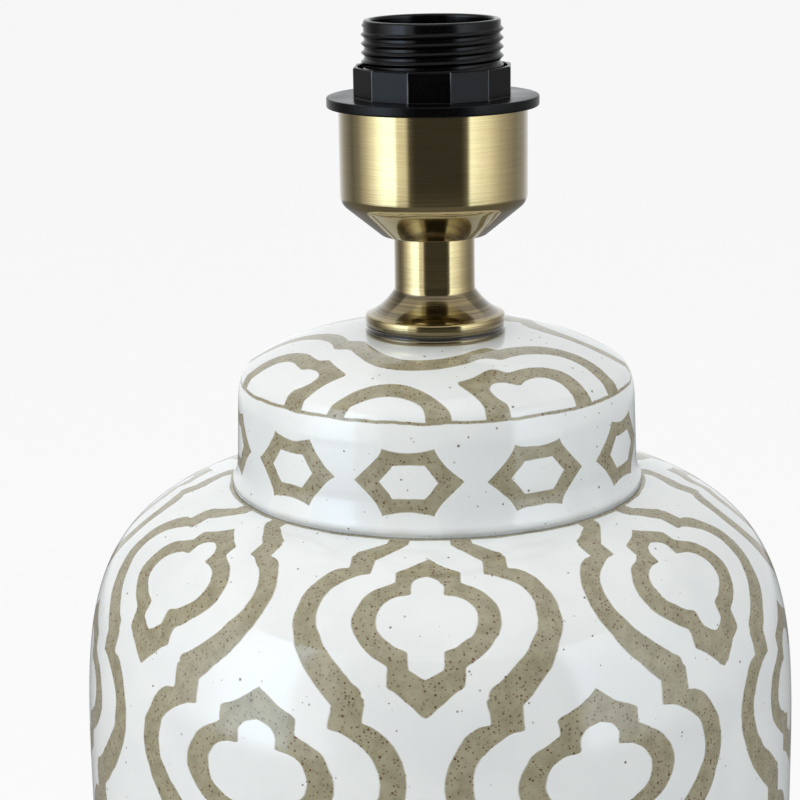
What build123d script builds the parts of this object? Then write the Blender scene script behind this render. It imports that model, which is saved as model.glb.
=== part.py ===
from build123d import *

import math
import os

# Ceramic table lamp: a glazed ginger jar with its lid moulded on, a turned brass neck, a spun
# brass cup and an Edison-screw lampholder with a shade ring. Millimetres, +Z up. The origin is on
# the table under the middle of the jar, -Y is the front, and the cord hole is at the back.

# Jar body
FOOT_RADIUS = 70.0
FOOT_ROUND = 3.0
FOOT_LEAN = 13.0
FOOT_LEAN_HEIGHT = 55.0
BELLY_RADIUS = 104.7
BELLY_HEIGHT = 190.0
BELLY_FALL = 90.0
SHOULDER_HEIGHT = 95.2
SHOULDER_REACH = 21.6
SHOULDER_LEAN = 4.1
SHOULDER_DROP = 16.1
SIDE_DROP = 36.1
JAR_WALL = 7.0
BASE_THICKNESS = 8.0
BASE_OPENING_RADIUS = 46.0

# Lid moulded on the jar
LID_LIP_RADIUS = 59.6
LID_LIP_RISE = 1.6
LID_FLARE_HEIGHT = 9.0
LID_FOOT_RADIUS = 58.0
LID_TOP_RADIUS = 57.5
LID_WALL_HEIGHT = 22.3
CROWN_EDGE_RADIUS = 54.8
CROWN_EDGE_RISE = 10.0
CROWN_RISE = 9.6
CROWN_BULGE = 2.8
LAND_RADIUS = 20.6
TOP_THICKNESS = 8.0
INNER_LAND_RADIUS = 19.0

# Feet under the jar
FOOT_PAD_RADIUS = 6.5
FOOT_PAD_HEIGHT = 2.0
FOOT_PAD_CHAMFER = 0.4
FOOT_PAD_COUNT = 4

# Cord bush at the back
CORD_HEIGHT = 22.0
CORD_BORE_RADIUS = 3.2
BUSH_SHANK_RADIUS = 5.0
BUSH_HEAD_RADIUS = 7.5
BUSH_HEAD_THICKNESS = 3.0
BUSH_HEAD_ROUND = 1.0
BUSH_TAIL = 2.0
BUSH_CLEARANCE = 0.1

# Hollow threaded tube, its nuts and washers
TUBE_RADIUS = 5.0
TUBE_BORE_RADIUS = 3.6
TUBE_TAIL = 6.0
TUBE_CHAMFER = 0.6
THREAD_CLEARANCE = 0.05
PASS_CLEARANCE = 0.3
NUT_FLATS = 17.0
INNER_NUT_HEIGHT = 6.0
LOCK_WASHER_RADIUS = 8.7
LOCK_WASHER_HEIGHT = 2.2
LOCK_WASHER_SLIT = 1.6
PLATE_WASHER_RADIUS = 16.0
PLATE_WASHER_HEIGHT = 2.0
RUBBER_WASHER_RADIUS = 17.0
RUBBER_WASHER_HEIGHT = 2.5
CUP_WASHER_RADIUS = 9.6
CUP_WASHER_HEIGHT = 0.8
CUP_WASHER_TEETH = 12
CUP_WASHER_NOTCH = 1.6
CUP_NUT_HEIGHT = 2.4

# Turned neck
NECK_HEIGHT = 28.7
NECK_RADIUS = 11.6
NECK_LIP_RADIUS = 20.4
NECK_LIP_HEIGHT = 1.2
NECK_BAND_RADIUS = 20.1
NECK_BEAD_BULGE = 0.15
NECK_BEAD_BASE = 3.0
NECK_BEAD_TOP = 5.2
NECK_SHOULDER_RADIUS = 19.2
NECK_SHOULDER_HEIGHT = 6.1
NECK_FLARE_RADIUS = 15.2
NECK_FLARE_RISE = 1.5
NECK_FLARE_HEIGHT = 12.9
GASKET_RADIUS = 16.5
GASKET_THICKNESS = 1.5

# Spun cup
CUP_RADIUS = 26.9
CUP_HEIGHT = 36.4
CUP_FLOOR_RADIUS = 15.2
CUP_CONE_HEIGHT = 9.6
CUP_WALL = 1.0
CUP_CORNER = 3.0
CUP_FLOOR_CORNER = 1.2

# Lampholder cap and its grub screw
CAP_BOSS_RADIUS = 9.5
CAP_BOSS_HEIGHT = 5.2
CAP_SHOULDER_HEIGHT = 10.2
CAP_RADIUS = 19.7
CAP_HEIGHT = 21.2
CAP_FLOOR_HEIGHT = 7.4
CAP_CAVITY_RADIUS = 11.0
CAP_LEDGE_HEIGHT = 12.4
CAP_LEDGE_WIDTH = 2.2
TUBE_END_GAP = 0.7
SET_SCREW_RADIUS = 1.5
SET_SCREW_HEIGHT = 2.6
SET_SCREW_SOCKET = 0.85

# Contact carrier, terminals and contact leaves
CARRIER_RADIUS = 17.2
CARRIER_HEIGHT = 10.0
CARRIER_CLEARANCE = 0.2
TERMINAL_LENGTH = 6.0
TERMINAL_WIDTH = 7.0
TERMINAL_HEIGHT = 8.0
TERMINAL_REACH = 10.0
TERMINAL_CLEARANCE = 0.1
TUNNEL_RADIUS = 1.2
WIRE_PASSAGE_RADIUS = 1.8
SCREW_SHIFT = 1.2
SCREW_RADIUS = 1.5
SCREW_LENGTH = 5.5
SCREW_HEAD_RADIUS = 2.3
SCREW_HEAD_HEIGHT = 1.6
SCREW_SLOT_WIDTH = 0.7
SCREW_SLOT_DEPTH = 0.7
LEAF_THICKNESS = 0.4
LEAF_WIDTH = 4.0
LEAF_LIFT = 0.15
LEAF_FOOT = 1.4
CENTRE_LEAF_RISE = 4.0
CENTRE_LEAF_LENGTH = 5.7
CENTRE_LEAF_TIP = 4.0
SIDE_LEAF_RISE = 3.0
SIDE_LEAF_LEAN = 1.8
SIDE_LEAF_TIP = 1.6

# Lampholder skirt, with the shade thread outside and the lamp thread inside
SKIRT_STAND = 24.2
SKIRT_RIM_RADIUS = 18.9
SKIRT_RIM_HEIGHT = 2.2
SKIRT_MOUTH_RADIUS = 17.3
SKIRT_MOUTH_DEPTH = 7.5
SKIRT_MOUTH_TAPER = 2.6
SKIRT_BODY_RADIUS = 22.2
SKIRT_BODY_GAP = 0.3
SKIRT_CAP_CLEARANCE = 0.3
SKIRT_FOOT_GAP = 0.5
SKIRT_LEDGE_RADIUS = 15.5
SHADE_THREAD_RADIUS = 20.0
SHADE_THREAD_PITCH = 2.5
SHADE_THREAD_DEPTH = 0.9
SHADE_THREAD_CREST = 0.5
SHADE_THREAD_ROOT = 0.9
SHADE_THREAD_START = 2.0
LAMP_THREAD_RADIUS = 12.3
LAMP_THREAD_PITCH = 3.629
LAMP_THREAD_DEPTH = 1.05
LAMP_THREAD_CREST = 2.0
LAMP_THREAD_ROOT = 0.8
LAMP_THREAD_START = 6.0
THREAD_OVERRUN = 0.15
THREAD_START_ANGLE = 25.0

# Shade ring
RING_FLANGE_RADIUS = 30.0
RING_FLANGE_THICKNESS = 2.9
RING_FLANGE_ROUND = 0.6
RING_COLLAR_RADIUS = 22.7
RING_HEIGHT = 11.3
RING_SIDES = 12
RING_TURN = 12.5
RING_CHAMFER = 0.4
RING_CLEARANCE = 0.3
RING_THREAD_DEPTH = 0.7
RING_MOUTH_RADIUS = 21.1
RING_MOUTH_DEPTH = 2.5

# Heights of the stack, from the table up
base_z = FOOT_PAD_HEIGHT
belly_z = base_z + BELLY_HEIGHT
shoulder_z = belly_z + SHOULDER_HEIGHT
lip_z = shoulder_z + LID_LIP_RISE
lid_top_z = lip_z + LID_WALL_HEIGHT
crown_edge_z = lid_top_z + CROWN_EDGE_RISE
land_z = crown_edge_z + CROWN_RISE
inner_land_z = land_z - TOP_THICKNESS
neck_top_z = land_z + NECK_HEIGHT
cup_floor_z = neck_top_z + CUP_WALL
cup_rim_z = neck_top_z + CUP_HEIGHT
cup_nut_z = cup_floor_z + CUP_WASHER_HEIGHT
cap_z = cup_nut_z + CUP_NUT_HEIGHT
cap_floor_z = cap_z + CAP_FLOOR_HEIGHT
cap_ledge_z = cap_z + CAP_LEDGE_HEIGHT
carrier_top_z = cap_ledge_z + CARRIER_HEIGHT
rim_z = cup_rim_z + SKIRT_STAND
rubber_washer_z = inner_land_z - RUBBER_WASHER_HEIGHT
plate_washer_z = rubber_washer_z - PLATE_WASHER_HEIGHT
lock_washer_z = plate_washer_z - LOCK_WASHER_HEIGHT
inner_nut_z = lock_washer_z - INNER_NUT_HEIGHT
tube_bottom_z = inner_nut_z - TUBE_TAIL
tube_top_z = cap_floor_z - TUBE_END_GAP

# Radii shared by pieces that fit
tube_thread_bore = TUBE_RADIUS + THREAD_CLEARANCE
tube_pass_bore = TUBE_RADIUS + PASS_CLEARANCE
carrier_seat_radius = CARRIER_RADIUS + CARRIER_CLEARANCE


def at(radius, height):
    """Point of a half outline in the XZ plane."""
    return (radius, 0, height)


def turned(*curves):
    """Solid turned about the Z axis from a closed half outline."""
    return revolve(make_face(Curve() + list(curves)), Axis.Z)


def disc(radius, low, high):
    """Plain disc between two heights."""
    return Pos(0, 0, (low + high) / 2) * Cylinder(radius, high - low)


def ring(outer, inner, low, high):
    """Plain ring between two heights."""
    return disc(outer, low, high) - disc(inner, low, high)


def across(low_y, high_y, radius):
    """Cylinder along Y at the height of the cord hole."""
    stock = Cylinder(radius, high_y - low_y, rotation=(-90, 0, 0))
    return Pos(0, (low_y + high_y) / 2, cord_z) * stock


def body_curves(inset):
    """Shoulder and taper of the jar's body, moved in from the outside by inset."""
    top = shoulder_z - inset
    wide = BELLY_RADIUS - inset
    foot = FOOT_RADIUS - inset
    low = base_z + FOOT_ROUND
    shoulder = Bezier(
        at(LID_LIP_RADIUS, top),
        at(LID_LIP_RADIUS + SHOULDER_REACH, top - SHOULDER_LEAN),
        at(wide, top - SHOULDER_DROP),
        at(wide, top - SIDE_DROP),
        at(wide, belly_z),
    )
    taper = Bezier(
        at(wide, belly_z),
        at(wide, belly_z - BELLY_FALL),
        at(foot + FOOT_LEAN, low + FOOT_LEAN_HEIGHT),
        at(foot, low),
    )
    return shoulder, taper


def wall_radius(height):
    """Outer radius of the jar below its widest ring, at a height above the table."""
    taper = body_curves(0)[1]
    upper, lower = 0.0, 1.0
    for _ in range(40):
        middle = (upper + lower) / 2
        if (taper @ middle).Z > height:
            upper = middle
        else:
            lower = middle
    return (taper @ upper).X


cord_z = base_z + CORD_HEIGHT
bush_seat_y = wall_radius(cord_z - BUSH_HEAD_RADIUS) - BUSH_CLEARANCE
bush_tail_y = wall_radius(cord_z) - JAR_WALL - BUSH_TAIL


def ceramic_jar():
    """Hollow body and lid in one casting, with the tube hole, the cord hole and an open base."""
    shoulder, taper = body_curves(0)
    foot_edge = Bezier(
        at(FOOT_RADIUS, base_z + FOOT_ROUND),
        at(FOOT_RADIUS - FOOT_ROUND * FOOT_LEAN / FOOT_LEAN_HEIGHT, base_z),
        at(FOOT_RADIUS - FOOT_ROUND, base_z),
    )
    body_close = Polyline(
        at(FOOT_RADIUS - FOOT_ROUND, base_z),
        at(0, base_z),
        at(0, shoulder_z),
        at(LID_LIP_RADIUS, shoulder_z),
    )
    body = turned(shoulder, taper, foot_edge, body_close)

    run = CROWN_EDGE_RADIUS - LAND_RADIUS
    chord = math.hypot(run, CROWN_RISE)
    crown_middle = at(
        LAND_RADIUS + run / 2 + CROWN_BULGE * CROWN_RISE / chord,
        land_z - CROWN_RISE / 2 + CROWN_BULGE * run / chord,
    )
    crown = ThreePointArc(at(LAND_RADIUS, land_z), crown_middle, at(CROWN_EDGE_RADIUS, crown_edge_z))
    crown_edge = Bezier(
        at(CROWN_EDGE_RADIUS, crown_edge_z),
        at(LID_TOP_RADIUS, crown_edge_z - CROWN_EDGE_RISE / 3),
        at(LID_TOP_RADIUS, lid_top_z),
    )
    wall = Line(at(LID_TOP_RADIUS, lid_top_z), at(LID_FOOT_RADIUS, lip_z + LID_FLARE_HEIGHT))
    flare = Bezier(
        at(LID_FOOT_RADIUS, lip_z + LID_FLARE_HEIGHT),
        at(LID_FOOT_RADIUS, lip_z + LID_FLARE_HEIGHT / 3),
        at(LID_LIP_RADIUS, lip_z),
    )
    lid_close = Polyline(
        at(LID_LIP_RADIUS, lip_z),
        at(LID_FOOT_RADIUS, shoulder_z - LID_LIP_RISE),
        at(0, shoulder_z - LID_LIP_RISE),
        at(0, land_z),
        at(LAND_RADIUS, land_z),
    )
    lid = turned(crown, crown_edge, wall, flare, lid_close)

    inner_shoulder, inner_taper = body_curves(JAR_WALL)
    hollow_close = Polyline(
        at(FOOT_RADIUS - JAR_WALL, base_z + FOOT_ROUND),
        at(0, base_z + FOOT_ROUND),
        at(0, shoulder_z - JAR_WALL),
        at(LID_LIP_RADIUS, shoulder_z - JAR_WALL),
    )
    floor = disc(BELLY_RADIUS, base_z, base_z + BASE_THICKNESS)
    body_hollow = turned(inner_shoulder, inner_taper, hollow_close) - floor
    lid_inner = LID_TOP_RADIUS - JAR_WALL
    lid_hollow = turned(
        Polyline(
            at(0, shoulder_z - 2 * JAR_WALL),
            at(lid_inner, shoulder_z - 2 * JAR_WALL),
            at(lid_inner, crown_edge_z - JAR_WALL),
            at(INNER_LAND_RADIUS, inner_land_z),
            at(0, inner_land_z),
            close=True,
        )
    )

    base_opening = disc(BASE_OPENING_RADIUS, 0, base_z + 2 * BASE_THICKNESS)
    tube_hole = disc(tube_pass_bore, inner_land_z - TOP_THICKNESS, land_z + TOP_THICKNESS)
    cord_hole = across(bush_tail_y - BUSH_TAIL, BELLY_RADIUS, BUSH_SHANK_RADIUS + BUSH_CLEARANCE)
    bush_seat = across(bush_seat_y, BELLY_RADIUS, BUSH_HEAD_RADIUS + PASS_CLEARANCE)
    return body + lid - body_hollow - lid_hollow - base_opening - tube_hole - cord_hole - bush_seat


def rubber_feet():
    """Pads stuck under the foot ring, midway between its opening and its edge."""
    circle = (BASE_OPENING_RADIUS + FOOT_RADIUS - FOOT_ROUND) / 2
    pad = disc(FOOT_PAD_RADIUS, 0, FOOT_PAD_HEIGHT)
    pad = chamfer(pad.edges().group_by(Axis.Z)[0], FOOT_PAD_CHAMFER)
    places = PolarLocations(circle, FOOT_PAD_COUNT, start_angle=180 / FOOT_PAD_COUNT)
    return Compound([place * pad for place in places])


def cord_bush():
    """Bush that lines the cord hole, with its head in the flat seat outside."""
    head = across(bush_seat_y, bush_seat_y + BUSH_HEAD_THICKNESS, BUSH_HEAD_RADIUS)
    head = fillet(head.edges().group_by(Axis.Y)[-1], BUSH_HEAD_ROUND)
    shank = across(bush_tail_y, bush_seat_y + BUSH_HEAD_THICKNESS / 2, BUSH_SHANK_RADIUS)
    bore = across(bush_tail_y - BUSH_TAIL, bush_seat_y + 2 * BUSH_HEAD_THICKNESS, CORD_BORE_RADIUS)
    return head + shank - bore


def threaded_tube():
    """Hollow tube that ties the jar, the neck, the cup and the lampholder cap together."""
    return turned(
        Polyline(
            at(TUBE_BORE_RADIUS, tube_bottom_z),
            at(TUBE_RADIUS - TUBE_CHAMFER, tube_bottom_z),
            at(TUBE_RADIUS, tube_bottom_z + TUBE_CHAMFER),
            at(TUBE_RADIUS, tube_top_z - TUBE_CHAMFER),
            at(TUBE_RADIUS - TUBE_CHAMFER, tube_top_z),
            at(TUBE_BORE_RADIUS, tube_top_z),
            close=True,
        )
    )


def hex_nut(low, high):
    """Hexagon nut with turned-off corners and a threaded bore."""
    corner = NUT_FLATS / math.sqrt(3)
    slope = (corner - NUT_FLATS / 2) / math.sqrt(3)
    blank = Pos(0, 0, low) * extrude(RegularPolygon(corner, 6), high - low)
    turning = turned(
        Polyline(
            at(tube_thread_bore, low),
            at(NUT_FLATS / 2, low),
            at(corner, low + slope),
            at(corner, high - slope),
            at(NUT_FLATS / 2, high),
            at(tube_thread_bore, high),
            close=True,
        )
    )
    return blank & turning


def inner_lock_washer():
    """Spring washer, split on one side."""
    washer = ring(LOCK_WASHER_RADIUS, tube_pass_bore, lock_washer_z, plate_washer_z)
    slit = Box(LOCK_WASHER_RADIUS, LOCK_WASHER_SLIT, 3 * LOCK_WASHER_HEIGHT)
    return washer - Pos(LOCK_WASHER_RADIUS, 0, lock_washer_z) * slit


def cup_lock_washer():
    """Toothed washer under the thin nut in the cup."""
    washer = ring(CUP_WASHER_RADIUS, tube_pass_bore, cup_floor_z, cup_nut_z)
    notch = Box(2 * CUP_WASHER_NOTCH, CUP_WASHER_NOTCH, 3 * CUP_WASHER_HEIGHT)
    for place in PolarLocations(CUP_WASHER_RADIUS, CUP_WASHER_TEETH):
        washer -= Pos(0, 0, cup_nut_z) * place * notch
    return washer


def neck_spindle():
    """Turned neck: lip, band and bead at its foot, then a flare up to a straight stem."""
    lip_top = land_z + NECK_LIP_HEIGHT
    bead_base = land_z + NECK_BEAD_BASE
    bead_top = land_z + NECK_BEAD_TOP
    flare_base = land_z + NECK_SHOULDER_HEIGHT
    flare_top = land_z + NECK_FLARE_HEIGHT
    gasket_top = land_z + GASKET_THICKNESS
    gasket_seat = GASKET_RADIUS + PASS_CLEARANCE
    foot = Polyline(
        at(tube_pass_bore, neck_top_z),
        at(tube_pass_bore, gasket_top),
        at(gasket_seat, gasket_top),
        at(gasket_seat, land_z),
        at(NECK_LIP_RADIUS, land_z),
        at(NECK_LIP_RADIUS, lip_top),
        at(NECK_BAND_RADIUS, lip_top),
        at(NECK_BAND_RADIUS, bead_base),
    )
    bead = Bezier(
        at(NECK_BAND_RADIUS, bead_base),
        at(NECK_BAND_RADIUS + 2 * NECK_BEAD_BULGE, (bead_base + bead_top) / 2),
        at(NECK_BAND_RADIUS, bead_top),
    )
    shoulder = Bezier(
        at(NECK_BAND_RADIUS, bead_top),
        at(NECK_BAND_RADIUS, flare_base),
        at(NECK_SHOULDER_RADIUS, flare_base),
    )
    flare = Bezier(
        at(NECK_SHOULDER_RADIUS, flare_base),
        at(NECK_FLARE_RADIUS, flare_base + NECK_FLARE_RISE),
        at(NECK_RADIUS, flare_top),
    )
    stem = Polyline(
        at(NECK_RADIUS, flare_top),
        at(NECK_RADIUS, neck_top_z),
        at(tube_pass_bore, neck_top_z),
    )
    return turned(foot, bead, shoulder, flare, stem)


def lampholder_cup():
    """Cup spun from sheet: a flat floor, a cone and a straight wall."""
    slope = math.atan2(CUP_CONE_HEIGHT, CUP_RADIUS - CUP_FLOOR_RADIUS)
    cone_top = neck_top_z + CUP_CONE_HEIGHT
    floor_shift = CUP_WALL * math.tan(slope / 2)
    wall_shift = CUP_WALL * math.tan((math.pi / 2 - slope) / 2)
    points = [
        at(tube_pass_bore, neck_top_z),
        at(CUP_FLOOR_RADIUS, neck_top_z),
        at(CUP_RADIUS, cone_top),
        at(CUP_RADIUS, cup_rim_z),
        at(CUP_RADIUS - CUP_WALL, cup_rim_z),
        at(CUP_RADIUS - CUP_WALL, cone_top + wall_shift),
        at(CUP_FLOOR_RADIUS - floor_shift, cup_floor_z),
        at(tube_pass_bore, cup_floor_z),
    ]
    inner_corner = CUP_CORNER - CUP_WALL
    inner_floor_corner = CUP_FLOOR_CORNER + CUP_WALL
    radii = [0, CUP_FLOOR_CORNER, CUP_CORNER, 0, 0, inner_corner, inner_floor_corner, 0]
    return turned(FilletPolyline(points, radius=radii, close=True))


def lampholder_cap():
    """Cap on the tube's end, with a ledge for the contact carrier and a grub-screw hole."""
    top_z = cap_z + CAP_HEIGHT
    shell = turned(
        Polyline(
            at(tube_thread_bore, cap_z),
            at(CAP_BOSS_RADIUS, cap_z),
            at(CAP_BOSS_RADIUS, cap_z + CAP_BOSS_HEIGHT),
            at(CAP_RADIUS, cap_z + CAP_SHOULDER_HEIGHT),
            at(CAP_RADIUS, top_z),
            at(carrier_seat_radius, top_z),
            at(carrier_seat_radius, cap_ledge_z),
            at(carrier_seat_radius - CAP_LEDGE_WIDTH, cap_ledge_z),
            at(CAP_CAVITY_RADIUS, cap_floor_z),
            at(tube_thread_bore, cap_floor_z),
            close=True,
        )
    )
    hole = Cylinder(SET_SCREW_RADIUS + THREAD_CLEARANCE, CAP_BOSS_RADIUS, rotation=(0, 90, 0))
    return shell - Pos(CAP_BOSS_RADIUS, 0, cap_z + SET_SCREW_HEIGHT) * hole


def cap_set_screw():
    """Grub screw through the boss, flush with it and against the tube."""
    length = CAP_BOSS_RADIUS - tube_thread_bore
    screw = Cylinder(SET_SCREW_RADIUS, length, rotation=(0, 90, 0))
    socket = extrude(Plane.YZ * RegularPolygon(SET_SCREW_SOCKET, 6), length)
    return Pos(tube_thread_bore + length / 2, 0, cap_z + SET_SCREW_HEIGHT) * (screw - socket)


def terminal_places():
    """Places of the centre terminal and the side terminal."""
    return [Pos(-TERMINAL_REACH, 0, 0), Pos(TERMINAL_REACH, 0, 0)]


def terminal_block(clearance):
    """Terminal's outer block, or its pocket in the carrier."""
    stock = Box(TERMINAL_LENGTH + 2 * clearance, TERMINAL_WIDTH + 2 * clearance, TERMINAL_HEIGHT)
    return Pos(0, 0, carrier_top_z - TERMINAL_HEIGHT / 2) * stock


def contact_carrier():
    """Insulating block with two terminal pockets and a wire passage beside each."""
    block = disc(CARRIER_RADIUS, cap_ledge_z, carrier_top_z)
    passage = disc(WIRE_PASSAGE_RADIUS, cap_ledge_z - CARRIER_HEIGHT, carrier_top_z + CARRIER_HEIGHT)
    passage_y = TERMINAL_WIDTH / 2 + TERMINAL_CLEARANCE
    for place in terminal_places():
        block -= place * terminal_block(TERMINAL_CLEARANCE)
        block -= place * Pos(-SCREW_SHIFT, -passage_y, 0) * passage
    return block


def terminal(place):
    """Brass block with a clamp-screw hole from above and a wire tunnel across."""
    tunnel_z = carrier_top_z - SCREW_LENGTH - TUNNEL_RADIUS / 2
    screw_hole = disc(SCREW_RADIUS + THREAD_CLEARANCE, tunnel_z, carrier_top_z + SCREW_LENGTH)
    tunnel = Cylinder(TUNNEL_RADIUS, 2 * TERMINAL_WIDTH, rotation=(90, 0, 0))
    block = terminal_block(0) - Pos(-SCREW_SHIFT, 0, 0) * screw_hole
    return place * (block - Pos(-SCREW_SHIFT, 0, tunnel_z) * tunnel)


def terminal_screws():
    """Slotted clamp screws, one in each terminal."""
    head_top_z = carrier_top_z + SCREW_HEAD_HEIGHT
    screw = disc(SCREW_RADIUS, carrier_top_z - SCREW_LENGTH, carrier_top_z)
    screw += disc(SCREW_HEAD_RADIUS, carrier_top_z, head_top_z)
    slot = Box(3 * SCREW_HEAD_RADIUS, SCREW_SLOT_WIDTH, 2 * SCREW_SLOT_DEPTH)
    screw -= Pos(0, 0, head_top_z) * slot
    return Compound([place * Pos(-SCREW_SHIFT, 0, 0) * screw for place in terminal_places()])


def leaf(points):
    """Bent contact strip of even thickness along points in the XZ plane, centred on Y."""
    half = LEAF_THICKNESS / 2
    turns = [math.atan2(z1 - z0, x1 - x0) for (x0, z0), (x1, z1) in zip(points, points[1:])]
    before = [turns[0]] + turns
    after = turns + [turns[-1]]
    left = []
    right = []
    for (x, z), angle_in, angle_out in zip(points, before, after):
        middle = (angle_in + angle_out) / 2
        reach = half / math.cos((angle_out - angle_in) / 2)
        left.append(at(x - reach * math.sin(middle), z + reach * math.cos(middle)))
        right.append(at(x + reach * math.sin(middle), z - reach * math.cos(middle)))
    outline = make_face(Polyline(*left, *reversed(right), close=True))
    return extrude(outline, LEAF_WIDTH / 2, both=True)


leaf_z = carrier_top_z + LEAF_LIFT + LEAF_THICKNESS / 2


def centre_contact_leaf():
    """Leaf that rises from the centre terminal to the axis, under the lamp's tip."""
    root = TERMINAL_LENGTH / 2 - TERMINAL_REACH
    bend = root + CENTRE_LEAF_LENGTH
    crest_z = leaf_z + CENTRE_LEAF_RISE
    tip = (bend + CENTRE_LEAF_TIP, crest_z)
    return leaf([(root - LEAF_FOOT, leaf_z), (root, leaf_z), (bend, crest_z), tip])


def side_contact_leaf():
    """Leaf that stands on the side terminal and leans in to the lamp's shell."""
    root = TERMINAL_REACH + TERMINAL_LENGTH / 2
    bend_z = leaf_z + SIDE_LEAF_RISE
    tip = (root - SIDE_LEAF_LEAN, bend_z + SIDE_LEAF_TIP)
    return leaf([(root - LEAF_FOOT, leaf_z), (root, leaf_z), (root, bend_z), tip])


def thread_turns(crest_radius, root_radius, pitch, crest, root, low, high):
    """Turns of a thread's helical groove, from just past its crests down to its roots."""
    outward = math.copysign(THREAD_OVERRUN, crest_radius - root_radius)
    mouth = (pitch - crest) / 2
    foot = root / 2
    section = make_face(
        Polyline(
            at(crest_radius + outward, low - mouth),
            at(crest_radius, low - mouth),
            at(root_radius, low - foot),
            at(root_radius, low + foot),
            at(crest_radius, low + mouth),
            at(crest_radius + outward, low + mouth),
            close=True,
        )
    )
    path = Helix(pitch, pitch, root_radius, center=(0, 0, low))
    turn = Rot(0, 0, THREAD_START_ANGLE) * sweep(section, path=path, is_frenet=True)
    return [Pos(0, 0, place * pitch) * turn for place in range(int((high - low) / pitch))]


def lampholder_skirt():
    """Skirt with the shade thread outside and the lamp thread inside."""
    foot_z = cap_z + CAP_SHOULDER_HEIGHT + SKIRT_FOOT_GAP
    body_top_z = cup_rim_z - SKIRT_BODY_GAP
    lead_z = rim_z - SKIRT_RIM_HEIGHT
    mouth_z = rim_z - SKIRT_MOUTH_DEPTH
    lamp_top_z = mouth_z - SKIRT_MOUTH_TAPER
    lamp_low_z = carrier_top_z + LAMP_THREAD_START
    cap_fit = CAP_RADIUS + SKIRT_CAP_CLEARANCE
    shell = turned(
        Polyline(
            at(cap_fit, foot_z),
            at(SKIRT_BODY_RADIUS, foot_z),
            at(SKIRT_BODY_RADIUS, body_top_z),
            at(SHADE_THREAD_RADIUS, body_top_z),
            at(SHADE_THREAD_RADIUS, lead_z - (SHADE_THREAD_RADIUS - SKIRT_RIM_RADIUS)),
            at(SKIRT_RIM_RADIUS, lead_z),
            at(SKIRT_RIM_RADIUS, rim_z),
            at(SKIRT_MOUTH_RADIUS, rim_z),
            at(SKIRT_MOUTH_RADIUS, mouth_z),
            at(LAMP_THREAD_RADIUS, lamp_top_z),
            at(LAMP_THREAD_RADIUS, lamp_low_z),
            at(SKIRT_LEDGE_RADIUS, lamp_low_z),
            at(SKIRT_LEDGE_RADIUS, carrier_top_z),
            at(cap_fit, carrier_top_z),
            close=True,
        )
    )
    shade_groove = thread_turns(
        SHADE_THREAD_RADIUS,
        SHADE_THREAD_RADIUS - SHADE_THREAD_DEPTH,
        SHADE_THREAD_PITCH,
        SHADE_THREAD_CREST,
        SHADE_THREAD_ROOT,
        cup_rim_z + SHADE_THREAD_START,
        rim_z,
    )
    lamp_groove = thread_turns(
        LAMP_THREAD_RADIUS,
        LAMP_THREAD_RADIUS + LAMP_THREAD_DEPTH,
        LAMP_THREAD_PITCH,
        LAMP_THREAD_CREST,
        LAMP_THREAD_ROOT,
        lamp_low_z - LAMP_THREAD_PITCH / 2,
        mouth_z,
    )
    return shell - shade_groove - lamp_groove


def shade_ring():
    """Screw ring that clamps a shade: a twelve-sided collar on a flange."""
    collar_low = cup_rim_z + RING_FLANGE_THICKNESS / 2
    top_z = cup_rim_z + RING_HEIGHT
    flange = disc(RING_FLANGE_RADIUS, cup_rim_z, cup_rim_z + RING_FLANGE_THICKNESS)
    flange = fillet(flange.edges().filter_by(GeomType.CIRCLE), RING_FLANGE_ROUND)
    side = Rot(0, 0, RING_TURN - 90) * RegularPolygon(RING_COLLAR_RADIUS, RING_SIDES)
    collar = Pos(0, 0, collar_low) * extrude(side, top_z - collar_low)
    collar = chamfer(collar.edges().group_by(Axis.Z)[-1], RING_CHAMFER)
    bore = disc(SHADE_THREAD_RADIUS + RING_CLEARANCE, cup_rim_z - RING_HEIGHT, top_z + RING_HEIGHT)
    mouth = disc(RING_MOUTH_RADIUS, top_z - RING_MOUTH_DEPTH, top_z + RING_MOUTH_DEPTH)
    groove = thread_turns(
        SHADE_THREAD_RADIUS + RING_CLEARANCE,
        SHADE_THREAD_RADIUS + RING_CLEARANCE + RING_THREAD_DEPTH,
        SHADE_THREAD_PITCH,
        SHADE_THREAD_ROOT,
        SHADE_THREAD_CREST,
        cup_rim_z,
        top_z - RING_MOUTH_DEPTH / 2,
    )
    return flange + collar - bore - mouth - groove


centre_place, side_place = terminal_places()
nodes = {
    "ceramic_jar": ceramic_jar(),
    "rubber_feet": rubber_feet(),
    "cord_bush": cord_bush(),
    "neck_gasket": ring(GASKET_RADIUS, tube_pass_bore, land_z, land_z + GASKET_THICKNESS),
    "neck_spindle": neck_spindle(),
    "threaded_tube": threaded_tube(),
    "inner_rubber_washer": ring(RUBBER_WASHER_RADIUS, tube_pass_bore, rubber_washer_z, inner_land_z),
    "inner_plate_washer": ring(PLATE_WASHER_RADIUS, tube_pass_bore, plate_washer_z, rubber_washer_z),
    "inner_lock_washer": inner_lock_washer(),
    "inner_hex_nut": hex_nut(inner_nut_z, lock_washer_z),
    "lampholder_cup": lampholder_cup(),
    "cup_lock_washer": cup_lock_washer(),
    "cup_lock_nut": hex_nut(cup_nut_z, cap_z),
    "lampholder_cap": lampholder_cap(),
    "cap_set_screw": cap_set_screw(),
    "contact_carrier": contact_carrier(),
    "centre_terminal": terminal(centre_place),
    "side_terminal": terminal(side_place),
    "terminal_screws": terminal_screws(),
    "centre_contact_leaf": centre_contact_leaf(),
    "side_contact_leaf": side_contact_leaf(),
    "lampholder_skirt": lampholder_skirt(),
    "shade_ring": shade_ring(),
}

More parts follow.
